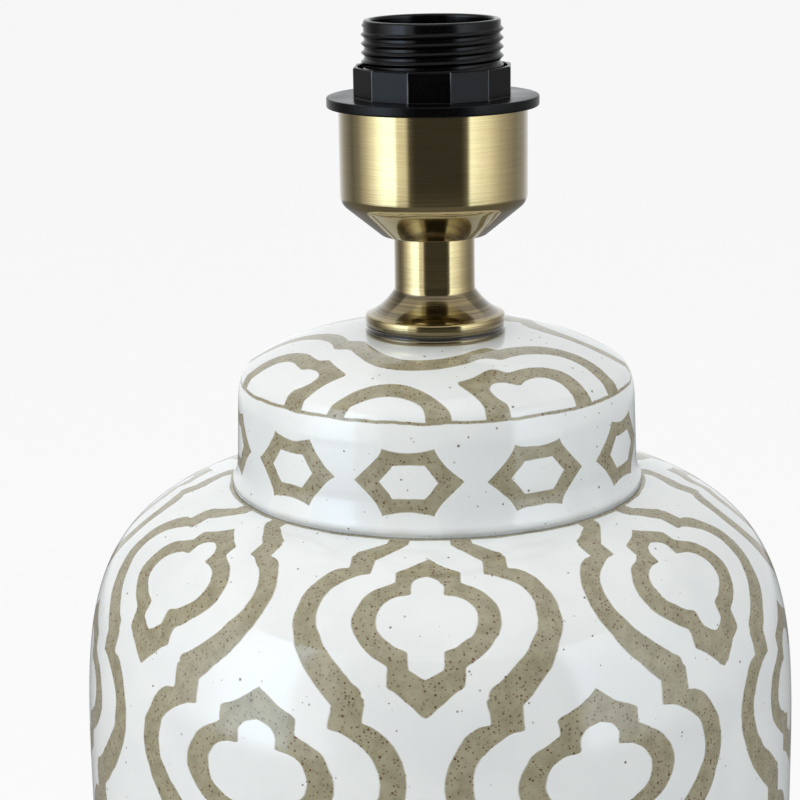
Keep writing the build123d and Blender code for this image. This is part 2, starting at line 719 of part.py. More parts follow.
os.makedirs("parts", exist_ok=True)
for name, shape in nodes.items():
    export_step(shape, os.path.join("parts", name + ".step"))
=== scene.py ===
import math

import bmesh
import bpy
import numpy as np
from mathutils import Matrix, Vector


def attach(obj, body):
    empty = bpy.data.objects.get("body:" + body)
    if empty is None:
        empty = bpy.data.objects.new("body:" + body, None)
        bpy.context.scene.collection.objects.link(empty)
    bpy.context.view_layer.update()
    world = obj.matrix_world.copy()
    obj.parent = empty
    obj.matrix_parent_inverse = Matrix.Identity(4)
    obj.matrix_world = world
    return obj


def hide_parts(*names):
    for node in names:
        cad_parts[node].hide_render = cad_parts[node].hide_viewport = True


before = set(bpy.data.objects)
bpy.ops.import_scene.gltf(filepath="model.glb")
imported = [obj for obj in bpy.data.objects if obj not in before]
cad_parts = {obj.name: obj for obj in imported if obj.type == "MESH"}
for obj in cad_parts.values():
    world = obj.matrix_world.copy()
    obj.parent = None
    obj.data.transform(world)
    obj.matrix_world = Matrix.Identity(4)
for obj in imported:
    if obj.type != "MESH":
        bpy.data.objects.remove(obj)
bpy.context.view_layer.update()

MM = 0.001
FULL_TURN = 2 * math.pi
ORIGIN = (0, 0, 0)
UPRIGHT = (0, 0, 1)
WELD = 0.000002
ROUNDING_STEPS = 5

# Heights on the lamp, in millimetres above the table
BASE_Z = 2.0
FOOT_Z = 5.0
JAR_FLOOR_Z = 10.0
CORD_Z = 24.0
BELLY_Z = 192.0
JAR_CEILING_Z = 280.2
SHOULDER_Z = 287.2
LIP_Z = 289.9
LID_FOOT_Z = 297.8
LID_TOP_Z = 311.1
CROWN_EDGE_Z = 321.1
CROWN_INSIDE_Z = 322.7
LAND_Z = 330.7
NECK_TOP_Z = 359.4
SKIRT_FOOT_Z = 374.3
CUP_RIM_Z = 395.8
FLANGE_TOP_Z = 398.7
COLLAR_TOP_Z = 407.1
RIM_Z = 420.0

# Heights on the neck, above the land it stands on
NECK_RECESS = 1.5
NECK_GROOVE = 1.9
NECK_DRUM_TOP = 5.2
NECK_SHOULDER = 6.1
NECK_FLARE_TOP = 12.9

# Radii, in millimetres
TUBE_HOLE = 5.3
BASE_OPENING = 46.0
FOOT_RADIUS = 70.0
BELLY_RADIUS = 104.7
BELLY_INSIDE = 97.7
LID_INSIDE = 50.5
CREASE_RADIUS = 59.6
LIP_RADIUS = 59.5
LID_RADIUS = 58.0
LID_TOP_RADIUS = 57.5
CROWN_EDGE_RADIUS = 54.8
LAND_RADIUS = 20.6
NECK_RECESS_RADIUS = 16.5
NECK_DRUM_RADIUS = 20.1
NECK_SHOULDER_RADIUS = 19.2
NECK_RADIUS = 11.6
CUP_FLOOR_RADIUS = 15.2
CUP_RADIUS = 26.9
CUP_INSIDE = 25.9
SKIRT_RADIUS = 22.2
SKIRT_INSIDE = 20.0
THREAD_CORE_RADIUS = 19.15
SKIRT_RIM_RADIUS = 19.3
SKIRT_MOUTH_RADIUS = 17.4
LAMP_BORE_RADIUS = 13.3
RING_BORE_RADIUS = 20.3
FLANGE_RADIUS = 30.0
COLLAR_RADIUS = 22.7
COLLAR_INSIDE = 21.1


# Shader sockets and materials

class Reading:
    """A value on a surface: a shader socket whose sums become Math nodes."""

    def __init__(self, paint, socket):
        self.paint = paint
        self.socket = socket

    def maths(self, operation, *others):
        return self.paint.maths(operation, self, *others)

    def out(self, name):
        """Another output of the same node."""
        return Reading(self.paint, self.socket.node.outputs[name])

    def __add__(self, other):
        return self.maths("ADD", other)

    def __radd__(self, other):
        return self.maths("ADD", other)

    def __sub__(self, other):
        return self.maths("SUBTRACT", other)

    def __rsub__(self, other):
        return self.paint.maths("SUBTRACT", other, self)

    def __mul__(self, other):
        return self.maths("MULTIPLY", other)

    def __rmul__(self, other):
        return self.maths("MULTIPLY", other)

    def __truediv__(self, other):
        return self.maths("DIVIDE", other)

    def __rtruediv__(self, other):
        return self.paint.maths("DIVIDE", other, self)

    def __neg__(self):
        return self.maths("MULTIPLY", -1.0)

    def __abs__(self):
        return self.maths("ABSOLUTE")

    def __mod__(self, other):
        return self.maths("FLOORED_MODULO", other)

    def __pow__(self, other):
        return self.maths("POWER", other)

    def __and__(self, other):
        return self.maths("MINIMUM", other)

    def __or__(self, other):
        return self.maths("MAXIMUM", other)


class Tree:
    """A shader tree, with one method for every node in it."""

    def __init__(self, tree):
        self.tree = tree

    def node(self, kind, settings=None, sockets=None, output=0):
        """A node of any kind: its settings first, then the values or links of its sockets."""
        made = self.tree.nodes.new(kind)
        for name, value in (settings or {}).items():
            if name == "stops":
                ramp = made.color_ramp
                while len(ramp.elements) < len(value):
                    ramp.elements.new(1.0)
                for stop, (place, colour) in zip(ramp.elements, value):
                    stop.position = place
                    stop.color = colour
            elif name == "points":
                curve = made.mapping.curves[0]
                while len(curve.points) < len(value):
                    curve.points.new(1.0, 1.0)
                for point, place in zip(curve.points, value):
                    point.location = place
                    point.handle_type = "AUTO_CLAMPED"
                made.mapping.update()
            else:
                setattr(made, name, value)
        for name, value in (sockets or {}).items():
            if isinstance(value, Reading):
                self.tree.links.new(value.socket, made.inputs[name])
            else:
                made.inputs[name].default_value = value
        return Reading(self, made.outputs[output])

    def maths(self, operation, *values):
        return self.node("ShaderNodeMath", {"operation": operation}, dict(enumerate(values)))

    def place(self):
        return self.node("ShaderNodeTexCoord", output="Object")

    def measure(self, name):
        """A measure kept on the vertices."""
        return self.node("ShaderNodeAttribute", {"attribute_name": name}, output="Fac")

    def axes(self, vector):
        split = self.node("ShaderNodeSeparateXYZ", None, {0: vector})
        return split.out("X"), split.out("Y"), split.out("Z")

    def joined(self, x, y, z):
        return self.node("ShaderNodeCombineXYZ", None, {0: x, 1: y, 2: z})

    def noise(self, vector, scale, detail=2.0, roughness=0.5):
        sockets = {"Vector": vector, "Scale": scale, "Detail": detail, "Roughness": roughness}
        return self.node("ShaderNodeTexNoise", None, sockets)

    def cells(self, vector, scale):
        return self.node("ShaderNodeTexVoronoi", None, {"Vector": vector, "Scale": scale})

    def mask(self, reading, low, high):
        """A soft step: 0 at low, 1 at high."""
        sockets = {"Value": reading, "From Min": low, "From Max": high}
        return self.node("ShaderNodeMapRange", {"interpolation_type": "SMOOTHSTEP"}, sockets)

    def span(self, reading, low, high, to_low, to_high):
        """A straight step: to_low at low, to_high at high."""
        ends = {"From Min": low, "From Max": high, "To Min": to_low, "To Max": to_high}
        return self.node("ShaderNodeMapRange", None, {"Value": reading, **ends})

    def vary(self, noise, least, most):
        """A noise stretched from least to most."""
        return self.span(noise, 0.3, 0.7, least, most)

    def blend(self, factor, first, second):
        """Two colours, mixed by a factor."""
        sockets = {0: factor, 6: first, 7: second}
        return self.node("ShaderNodeMix", {"data_type": "RGBA"}, sockets, output=2)

    def mixed_shader(self, factor, first, second):
        return self.node("ShaderNodeMixShader", None, {0: factor, 1: first, 2: second})

    def backdrop_share(self):
        """1 for rays from the camera, mirrors and glass, which see the pale backdrop."""
        path = self.node("ShaderNodeLightPath", output="Is Camera Ray")
        return path | path.out("Is Glossy Ray") | path.out("Is Transmission Ray")


class Paint(Tree):
    """One material: a Principled shader, and the nodes that feed it."""

    def __init__(self, name, constants):
        self.material = bpy.data.materials.new(name)
        self.material.use_nodes = True
        super().__init__(self.material.node_tree)
        self.shader = self.tree.nodes["Principled BSDF"]
        for socket, value in constants.items():
            self.shader.inputs[socket].default_value = value

    def feed(self, **links):
        """Link readings to the shader, named with underscores for spaces."""
        for name, reading in links.items():
            self.tree.links.new(reading.socket, self.shader.inputs[name.replace("_", " ")])

    def bump(self, height, strength, distance):
        sockets = {"Height": height, "Strength": strength, "Distance": distance}
        self.feed(Normal=self.node("ShaderNodeBump", None, sockets))


def tone(red, green, blue):
    """A colour from its display values of 0 to 255."""
    def linear(level):
        share = level / 255
        return share / 12.92 if share <= 0.04045 else ((share + 0.055) / 1.055) ** 2.4

    return (linear(red), linear(green), linear(blue), 1)


def grey(level):
    return (level, level, level, 1)


# Outlines and turned pieces

def bezier(steps, *points):
    """Points along a Bezier curve, its first point left out."""
    found = []
    for step in range(1, steps + 1):
        share = step / steps
        level = [Vector(point) for point in points]
        while len(level) > 1:
            level = [a.lerp(b, share) for a, b in zip(level, level[1:])]
        found.append(tuple(level[0]))
    return found


def straight(steps, start, end):
    return bezier(steps, start, end)


def rounded(*corners):
    """An outline through corners of radius and height, some with a rounding as third number."""
    found = []
    for index, corner in enumerate(corners):
        here = Vector(corner[:2])
        rounding = corner[2] if len(corner) > 2 else 0
        if not rounding:
            found.append(tuple(here))
            continue
        before = Vector(corners[index - 1][:2])
        after = Vector(corners[(index + 1) % len(corners)][:2])
        start = here + (before - here).normalized() * rounding
        end = here + (after - here).normalized() * rounding
        found.append(tuple(start))
        found.extend(bezier(ROUNDING_STEPS, start, here, end))
    return found


def loop_of(mesh, outline):
    """A closed loop of edges through points of radius and height, ready to spin."""
    corners = [mesh.verts.new((radius * MM, 0, height * MM)) for radius, height in outline]
    return corners + [mesh.edges.new(pair) for pair in zip(corners, corners[1:] + corners[:1])]


def everything(mesh):
    return mesh.verts[:] + mesh.edges[:] + mesh.faces[:]


def copied(mesh, parts):
    """Copy parts of a mesh, and give the new vertices."""
    made = bmesh.ops.duplicate(mesh, geom=parts)["geom"]
    return [part for part in made if isinstance(part, bmesh.types.BMVert)]


def turned(mesh, verts, angle):
    """Turn vertices about the lamp's axis."""
    bmesh.ops.rotate(mesh, verts=verts, cent=ORIGIN, matrix=Matrix.Rotation(angle, 3, "Z"))


def welded(mesh):
    bmesh.ops.remove_doubles(mesh, verts=mesh.verts, dist=WELD)


def tidied(mesh):
    welded(mesh)
    bmesh.ops.recalc_face_normals(mesh, faces=mesh.faces)


def spun(outline, steps):
    """Turn a closed outline about the lamp's axis: an eighth of a turn, doubled three times."""
    mesh = bmesh.new()
    bmesh.ops.spin(
        mesh, geom=loop_of(mesh, outline), axis=UPRIGHT, cent=ORIGIN,
        steps=steps // 8, angle=FULL_TURN / 8,
    )
    for share in (8, 4, 2):
        turned(mesh, copied(mesh, everything(mesh)), FULL_TURN / share)
    tidied(mesh)
    return mesh


def helix_ridge(section, pitch, turns, start_z, start_angle, root, steps=96):
    """A small closed section wound up a helix, its two ends drawn back to the root's radius."""
    fade, faded = 0.1, 0.02
    mesh = bmesh.new()
    outline = [(radius, start_z + height) for radius, height in section]
    bmesh.ops.spin(
        mesh, geom=loop_of(mesh, outline), axis=UPRIGHT, cent=ORIGIN,
        steps=steps, angle=FULL_TURN, dvec=(0, 0, pitch / steps * MM),
    )
    one_turn = everything(mesh)
    for place in range(1, turns):
        bmesh.ops.translate(mesh, verts=copied(mesh, one_turn), vec=(0, 0, place * pitch * MM))
    welded(mesh)
    bmesh.ops.edgeloop_fill(mesh, edges=[edge for edge in mesh.edges if edge.is_boundary])
    for vert in mesh.verts:
        angle = math.atan2(vert.co.y, vert.co.x) / FULL_TURN
        wound = round((vert.co.z / MM - start_z) / pitch - angle) + angle
        share = min(1, wound / fade, (turns - wound) / fade)
        radius = vert.co.xy.length / MM
        vert.co.xy *= (root + (radius - root) * max(share, faded)) / radius
    turned(mesh, mesh.verts, math.radians(start_angle))
    tidied(mesh)
    return mesh


def merged(mesh, *others):
    """Put other bmeshes into one."""
    for other in others:
        data = bpy.data.meshes.new("merged")
        other.to_mesh(data)
        other.free()
        mesh.from_mesh(data)
        bpy.data.meshes.remove(data)
    return mesh


def piece(name, mesh, smooth_angle=30.0):
    """Close a bmesh into an object at the origin, smooth but for its sharp edges."""
    data = bpy.data.meshes.new(name)
    for face in mesh.faces:
        face.smooth = True
    mesh.to_mesh(data)
    mesh.free()
    data.set_sharp_from_angle(angle=math.radians(smooth_angle))
    made = bpy.data.objects.new(name, data)
    bpy.context.scene.collection.objects.link(made)
    return made


def dressed(made, paints, body, node):
    """Give a piece its materials and its body, and hide the CAD node it stands for."""
    for paint in paints:
        made.data.materials.append(paint.material)
    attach(made, body)
    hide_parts(node)


# The jar: body and moulded lid, with its pattern's measures on the vertices

CROWN_TURN = 1.3
CORNER_CUT = 0.2


def crown_distance(points):
    """Distance in millimetres of (x, y) points into the crown's clay lines, negative outside."""
    band = [
        (52, -26.5), (48.3, -24.5), (46, -21), (43, -19), (39, -17.6), (34, -16.9), (29, -17.5),
        (24, -19.3), (19, -22.3), (16.2, -24.3), (13.6, -22), (10, -25.5), (6, -29.3), (1, -32),
        (-4, -33), (-9, -32.3), (-12.5, -29.3), (-15, -26), (-17.2, -21.5), (-19.3, -15.5),
        (-20.5, -11.4), (-25, -10.8), (-25.6, -7), (-27.2, -2.8), (-30.5, 1), (-35, 4), (-41, 6.8),
        (-47, 8.2), (-58, 8.5), (-58, 3.5), (-50, 3.5), (-43, 2.5), (-37, -1), (-33, -4.8),
        (-30.5, -9), (-29.2, -14), (-29, -17.4), (-24.6, -19.2), (-22.7, -24), (-20, -30.5),
        (-17, -34.5), (-12.5, -37.6), (-7, -38.8), (-1, -38.8), (4, -37.4), (8.5, -34.6),
        (11.3, -31.8), (14, -30.9), (17.4, -31.6), (20, -29), (24, -26), (29, -23.6), (34, -22.5),
        (38, -22.9), (41.5, -24.8), (44.5, -27.8), (46.5, -31), (52, -33),
    ]
    right_ring = [
        (4, -44.8), (8, -43), (11, -40.4), (13.5, -37.9), (15.2, -37.2), (18.8, -38.5), (21.5, -36),
        (25, -33.5), (29, -31.8), (33, -31.3), (36.5, -32.5), (39, -34.7), (40.5, -37.3), (46, -39),
        (38, -48), (25, -56), (12.6, -60), (12.2, -55.5), (11, -52), (8.5, -49),
    ]
    right_white = [
        (13.3, -46.2), (14.3, -44.2), (17, -43), (21.8, -43.4), (23.3, -40.8), (26, -38.3),
        (29.5, -36.9), (33, -37.3), (35.5, -39.5), (37.5, -43), (32, -50), (20, -56), (18.6, -52.5),
        (18, -50.8), (15.5, -49.4), (13.8, -47.6),
    ]
    left_ring = [
        (-25, -36.1), (-26.5, -33), (-28.3, -29.3), (-29.7, -26), (-30.2, -24.7), (-33.2, -23.4),
        (-34.6, -20.5), (-36, -16.5), (-38.6, -12.8), (-42, -10), (-46, -8.2), (-49.5, -7.8),
        (-53, -9.5), (-59, -11), (-60, -22), (-50, -37), (-40, -46), (-37.6, -41.4), (-34.5, -39.3),
        (-30, -37.2),
    ]
    left_white = [
        (-33, -31.2), (-33, -33.2), (-35.2, -34.7), (-38, -35), (-40, -34.5), (-43, -37.5),
        (-48, -35), (-54, -25), (-56, -17), (-52, -15.2), (-48.5, -14), (-45, -14.3), (-42, -16.6),
        (-40, -19.7), (-38.8, -23.2), (-38, -25.7), (-35.6, -27), (-34, -29),
    ]
    arch = [
        (-32, -48), (-27, -45.4), (-22.5, -43.9), (-17.5, -43.2), (-12.5, -43.8), (-8.5, -45.3),
        (-4.5, -47.9), (-1.5, -50.7), (1, -53.3), (3, -56), (3, -62), (-33, -62),
    ]
    arch_white = [
        (-27, -50.5), (-23, -48.6), (-19, -48), (-14.5, -48.3), (-10.5, -49.6), (-7, -51.8),
        (-5, -53.6), (-4, -57), (-12, -59), (-24, -56),
    ]
    shapes = [(band, None), (right_ring, right_white), (left_ring, left_white), (arch, arch_white)]
    cosine, sine = math.cos(math.radians(CROWN_TURN)), math.sin(math.radians(CROWN_TURN))
    points = points @ np.array([(cosine, -sine), (sine, cosine)])
    best = np.full(len(points), -1000.0)
    for half_turn in (1, -1):
        for solid, hole in shapes:
            inside = polygon_distance(points * half_turn, softened(solid))
            if hole:
                outside_hole = -polygon_distance(points * half_turn, softened(hole))
                inside = np.minimum(inside, outside_hole)
            best = np.maximum(best, inside)
    return best


def softened(corners):
    """A closed outline with its corners cut once, as a brush would."""
    loop = np.array(corners, float)
    after = np.roll(loop, -1, axis=0)
    cut = [loop * (1 - share) + after * share for share in (CORNER_CUT, 1 - CORNER_CUT)]
    return np.stack(cut, axis=1).reshape(-1, 2)


def polygon_distance(points, corners):
    """Signed distance of points to a closed outline, positive inside."""
    run = np.roll(corners, -1, axis=0) - corners
    offset = points[:, None, :] - corners[None, :, :]
    share = np.clip((offset * run).sum(2) / (run * run).sum(1), 0, 1)
    nearest = np.linalg.norm(offset - share[..., None] * run, axis=2).min(1)
    above = offset[..., 1] >= 0
    below = offset[..., 1] < run[:, 1]
    left_of = run[:, 0] * offset[..., 1] - run[:, 1] * offset[..., 0] > 0
    upward, downward = above & below & left_of, ~above & ~below & ~left_of
    crossings = upward.astype(int) - downward.astype(int)
    return np.where(crossings.sum(1) != 0, nearest, -nearest)


INSIDE = 2000.0


def jar_outline():
    """The jar's closed outline, and each point's length along the glaze from the crease."""
    land = (LAND_RADIUS, LAND_Z)
    crown_edge = (CROWN_EDGE_RADIUS, CROWN_EDGE_Z)
    lid_top = (LID_TOP_RADIUS, LID_TOP_Z)
    lid_foot = (LID_RADIUS, LID_FOOT_Z)
    lip = (LIP_RADIUS, LIP_Z)
    belly = (BELLY_RADIUS, BELLY_Z)
    foot = (FOOT_RADIUS, FOOT_Z)
    crown = [(TUBE_HOLE, LAND_Z), (14, LAND_Z), land]
    crown += bezier(44, land, (39.2, 331.3), crown_edge)
    lid = bezier(16, crown_edge, (LID_TOP_RADIUS, 317.8), lid_top)
    lid += straight(10, lid_top, lid_foot)
    lid += bezier(10, lid_foot, (LID_RADIUS, 292.2), lip)
    lid += bezier(6, lip, (60, 288.6), (59, SHOULDER_Z))
    lid += [(58.7, SHOULDER_Z - 0.3)]
    body = [(LIP_RADIUS, SHOULDER_Z - 0.1)]
    body += bezier(
        40, (CREASE_RADIUS, SHOULDER_Z), (81.2, 283.1), (BELLY_RADIUS, 271.1),
        (BELLY_RADIUS, 251.1), belly,
    )
    body += bezier(36, belly, (BELLY_RADIUS, 102), (83, 60), foot)
    body += bezier(5, foot, (69.29, BASE_Z), (67, BASE_Z))
    glazed = crown + lid + body
    lengths = [0.0]
    for here, there in zip(glazed, glazed[1:]):
        lengths.append(lengths[-1] + math.dist(here, there))
    crease = lengths[len(crown) + len(lid)]
    along = [length - crease for length in lengths]

    belly_inside = (BELLY_INSIDE, BELLY_Z)
    bare = [(66.5, BASE_Z), (BASE_OPENING, BASE_Z), (BASE_OPENING, JAR_FLOOR_Z)]
    bare += [(63.8, JAR_FLOOR_Z)]
    bare += bezier(12, (63.8, JAR_FLOOR_Z), (76, 60), (BELLY_INSIDE, 102), belly_inside)
    bare += bezier(
        12, belly_inside, (BELLY_INSIDE, 244.1), (BELLY_INSIDE, 264.1), (81.2, 276.1),
        (CREASE_RADIUS, JAR_CEILING_Z),
    )
    bare += [(LID_INSIDE, JAR_CEILING_Z), (LID_INSIDE, 314.1)]
    bare += [(19, CROWN_INSIDE_Z), (TUBE_HOLE, CROWN_INSIDE_Z)]
    return glazed + bare, along + [INSIDE] * len(bare)


HOLE_RADIUS = 5.1
SEAT_RADIUS = 7.8
SEAT_Y = 72.779
HOLE_START_Y = 55.0
HOLE_END_Y = 90.0
HOLE_REACH = 9.0
SAME_POINT = 0.01


def cut_cord_hole(jar):
    """Cut the round hole at the back and the flat seat round it, with one turned plug."""
    outline = [
        (0, HOLE_START_Y), (HOLE_RADIUS, HOLE_START_Y), (HOLE_RADIUS, SEAT_Y),
        (SEAT_RADIUS, SEAT_Y), (SEAT_RADIUS, HOLE_END_Y), (0, HOLE_END_Y),
    ]
    mesh = spun(outline, 48)
    laid = Matrix.Translation((0, 0, CORD_Z * MM)) @ Matrix.Rotation(-math.pi / 2, 4, "X")
    bmesh.ops.transform(mesh, matrix=laid, verts=mesh.verts)
    tidied(mesh)
    cutter = piece("cord_hole_cutter", mesh)
    cut = jar.modifiers.new("cord hole", "BOOLEAN")
    cut.operation = "DIFFERENCE"
    cut.object = cutter
    whole = jar.data
    evaluated = jar.evaluated_get(bpy.context.evaluated_depsgraph_get())
    jar.data = bpy.data.meshes.new_from_object(evaluated)
    jar.data.name = "jar"
    jar.modifiers.clear()
    bpy.data.meshes.remove(whole)
    bpy.data.meshes.remove(cutter.data)


def keep_measure(data, name, values):
    data.attributes.new(name, "FLOAT", "POINT").data.foreach_set("value", values)


def make_jar():
    """The jar with its cord hole, its pattern's measures, and bare clay inside."""
    outline, along = jar_outline()
    jar = piece("jar", spun(outline, 320))
    cut_cord_hole(jar)

    count = len(jar.data.vertices)
    places = np.zeros(count * 3, np.float32)
    jar.data.vertices.foreach_get("co", places)
    places = places.reshape(-1, 3) / MM
    x, y, z = places[:, 0], places[:, 1], places[:, 2]
    wall = sorted(
        (height, length) for (_, height), length in zip(outline, along) if 0 < length < INSIDE / 2
    )
    lengths = np.interp(z, [row[0] for row in wall], [row[1] for row in wall]).astype(np.float32)
    nearest = np.full(count, SAME_POINT)
    radii = np.hypot(x, y)
    for (radius, height), length in zip(outline, along):
        distance = np.hypot(radii - radius, z - height)
        lengths[distance < nearest] = length
        nearest = np.minimum(nearest, distance)
    keep_measure(jar.data, "along", lengths)

    clay = np.full(count, -20.0, np.float32)
    on_crown = (z > CROWN_EDGE_Z - 6) & (lengths < 0)
    clay[on_crown] = crown_distance(places[on_crown, :2].astype(float))
    keep_measure(jar.data, "crown_clay", clay)

    near_hole = (np.abs(x) < HOLE_REACH) & (np.abs(z - CORD_Z) < HOLE_REACH) & (y > 0)
    in_hole = near_hole & (nearest >= SAME_POINT)
    for face in jar.data.polygons:
        corners = list(face.vertices)
        if max(lengths[corners]) > INSIDE / 2 or all(in_hole[corners]):
            face.material_index = 1
        face.use_smooth = True
    jar.data.set_sharp_from_angle(angle=math.radians(40))
    return jar


# Glaze and clay

HEXAGON_SPACING = 36.0
HEXAGON_TURN = 7.6
HEXAGON_MIDDLE = 16.4
CROWN_LINE = 32.7

GLAZE_WHITE, GLAZE_CLOUD = tone(241, 245, 245), tone(235, 239, 240)
GLAZE_DIP = tone(228, 234, 237)
LINE_TAN, LINE_TAN_DEEP = tone(168, 162, 137), tone(149, 143, 118)
FINE_SPECK, COARSE_SPECK = tone(94, 64, 40), tone(92, 52, 32)
CREASE_SHADE_BROWN = tone(92, 80, 62)
BARE_CLAY, BARE_CLAY_DEEP = tone(186, 174, 148), tone(168, 155, 128)
BARE_FINE_SPECK, BARE_COARSE_SPECK = tone(112, 92, 66), tone(104, 64, 44)


def specks(paint, place, clay, scale, sizes, softness, rare):
    """One grain of specks, on all of the clay and on the rare cells of the white."""
    cells = paint.cells(place, scale)
    size, depth, chance = paint.axes(cells.out("Color"))
    reach = cells.out("Distance") - paint.span(size, 0, 1, *sizes)
    return paint.mask(reach, softness, -softness) * (clay | paint.mask(chance, *rare)), depth


def clay_speckles(paint, place, clay):
    """Fine and coarse specks of the stoneware, the fine ones each with a depth of its own."""
    fine, depth = specks(paint, place, clay, 1050, (0.12, 0.39), 0.05, (0.98, 0.985))
    coarse, _ = specks(paint, place, clay, 330, (0.04, 0.15), 0.03, (0.95, 0.96))
    return fine * paint.span(depth, 0, 1, 0.3, 0.95), coarse


def trellis_clay(paint, along, turn):
    """The ogee trellis on the body: a value above zero on the clay lines, in degrees."""
    cells = 7
    row_height = 45.0
    first_row = 6.5
    scale, least = 32.0, -2.0
    hidden = 30
    squeeze = paint.maths("EXPONENT", along * (-1 / 6.8)) * 11
    along = (along - 1.1 - squeeze) | -4.0
    row = ((along - first_row) / row_height).maths("FLOOR")
    down = along - first_row - row * row_height
    share = down / row_height
    across = (turn * (cells / 360) + row * 0.5 + 0.5) % 1 - 0.5
    side = abs(across) * (360 / cells)
    other_side = 180 / cells - side

    def curve(*points):
        """A width in degrees that changes down the row."""
        stops = [(place / row_height, (width - least) / scale) for place, width in points]
        drawn = paint.node("ShaderNodeFloatCurve", {"points": stops}, {"Value": share})
        return drawn * scale + least

    outer = curve(
        (0, -0.4), (1.5, 0.6), (3.5, 2.2), (5.5, 4.2), (7.3, 6.3), (7.7, 6.5), (11.5, 6.4),
        (12.3, 7), (13.5, 8.2), (15.5, 10.2), (17.5, 11.2), (21.5, 12.4), (24.5, 12.6),
        (27.5, 12.2), (30.5, 11), (33.5, 9.2), (35.5, 7.6), (37.2, 6.1), (42, 5.9), (43.5, 4.6),
        (45, 3.4),
    )
    inner = curve(
        (0, -2), (8.9, -2), (9.3, 0), (9.8, 1), (10.5, 2), (11.5, 2.6), (13.5, 3.1), (16, 3.1),
        (16.9, 5.3), (18.5, 7), (20.5, 8), (23.5, 8.5), (26.5, 8.2), (28.5, 7.5), (30.5, 5.9),
        (32, 4.5), (33.2, 2.8), (37.5, 2.6), (38.5, 1.9), (39.5, 1), (40.3, 0), (40.8, -2),
        (45, -2),
    )
    tail = curve(
        (0, 3.4), (2.5, 1.7), (4.5, 0.5), (5.5, -0.5), (8, -2), (45, -2),
    )
    near_edge = curve(
        (0, 9.9), (1.5, 10.8), (3, 11.5), (8.6, 11.4), (9.6, 13.2), (11.5, 15.2), (13.5, 16.7),
        (15.5, 17.8), (18.5, 18.7), (21.5, 19), (24.5, 18.9), (27.5, 18.4), (30.5, 17.2),
        (33.5, 15.9), (37.5, 13.5), (41.5, 11), (43.3, 9.6), (45, 9.4),
    )
    far_edge = curve(
        (0, 16.3), (1, 16.7), (6.6, 16.5), (7.6, 18.2), (9.5, 19.8), (11.5, 20.7), (15.5, 22),
        (18.5, 22.7), (23, 22.9), (27.5, 22.5), (31.5, 21.6), (35.5, 20.4), (38.5, 19.2),
        (41.5, 17.6), (45, 15.8),
    )
    ring = (outer - side) & (side - inner)
    band = (side - near_edge) & (far_edge - side)
    below_first = paint.mask(along, first_row - 0.2, first_row + 0.2)
    below_second = paint.mask(along, first_row + 20, first_row + 21)
    ring = ring + (below_first - 1) * hidden
    tail = tail - other_side + (below_second - 1) * hidden
    return ring | band | tail


def hexagon_clay(along, turn):
    """The row of hexagon rings round the lid's wall: a value above zero on the clay, in degrees."""
    half_height, half_flat, point_reach = 9.3, 7, 8
    across = ((turn + HEXAGON_TURN) / HEXAGON_SPACING + 0.5) % 1 - 0.5
    side = abs(across) * HEXAGON_SPACING
    height = abs(along + HEXAGON_MIDDLE)
    rest = (1 - height / half_height) | 0.0
    outer = rest ** 1.4 * point_reach + half_flat - side
    bow = side / half_flat
    outer = outer & (bow * bow * 1.1 + 8.2 - height)
    inner = (8 - height * 0.8 - side) & (4.6 - height)
    return outer & -inner


def scallop_tone(paint, along, turn):
    """1 in the thicker round dips of glaze between the hexagons, fading at their edge."""
    across = (((turn + HEXAGON_TURN) / HEXAGON_SPACING) % 1 - 0.5) * HEXAGON_SPACING
    height = abs(along + HEXAGON_MIDDLE) - 9.6
    reach = (across * across + height * height).maths("SQRT")
    return paint.mask(reach, 10.5, 9.7) * paint.mask(along, -29, -26)


def make_glaze():
    """White glaze with clay lines left in it: trellis, hexagons, crown lines and the crease, with
    painted shade darkening the crease.
    """
    hidden = 40
    paint = Paint("white glaze over clay pattern", {"IOR": 1.5})
    place = paint.place()
    x, y, _ = paint.axes(place)
    along_raw = paint.measure("along")
    crown_raw = paint.measure("crown_clay")
    wobble_x, wobble_y, _ = paint.axes(paint.noise(place, 110, 2).out("Color"))
    along = along_raw + (wobble_x - 0.5) * 1.3
    turn = paint.maths("ARCTAN2", x, -y) * (180 / math.pi) + (wobble_y - 0.5) * 1.2

    on_body = paint.mask(along_raw, -0.05, 0.05)
    on_crown = paint.mask(along_raw, -CROWN_LINE + 0.3, -CROWN_LINE - 0.2)
    lines = (0.75 - abs(along - 0.55)) | (0.45 - abs(along + CROWN_LINE))
    body = trellis_clay(paint, along, turn + 2) + (on_body - 1) * hidden
    lid = hexagon_clay(along, turn) - on_body * hidden - on_crown * hidden
    crown = crown_raw + (wobble_x - 0.5) * 0.8 + (on_crown - 1) * hidden
    clay = paint.mask(body | lid | crown | lines, -0.18, 0.22)

    fine, coarse = clay_speckles(paint, place, clay)
    cloud = paint.noise(place, 45, 3)
    white = paint.blend(paint.mask(cloud, 0.35, 0.7), GLAZE_WHITE, GLAZE_CLOUD)
    dips = scallop_tone(paint, along_raw, turn) * paint.vary(cloud, 0.3, 0.6)
    white = paint.blend(dips, white, GLAZE_DIP)
    grain = paint.noise(place, 260, 3)
    tan = paint.blend(paint.mask(grain, 0.3, 0.75), LINE_TAN, LINE_TAN_DEEP)
    colour = paint.blend(clay, white, tan)
    colour = paint.blend(fine, colour, FINE_SPECK)
    colour = paint.blend(coarse * 0.8, colour, COARSE_SPECK)
    # Painted shade: the crease under the lid's lip is darkened brown, over its line of bare clay.
    crease = paint.mask(abs(along_raw - 0.15), 0.55, 0.1)
    colour = paint.blend(crease * 0.7, colour, CREASE_SHADE_BROWN)
    paint.feed(Base_Color=colour, Roughness=paint.vary(cloud, 0.05, 0.09))
    ripple = paint.noise(place, 32, 2) * 0.35
    paint.bump(ripple - clay * 0.12, 0.35, 0.001)
    return paint


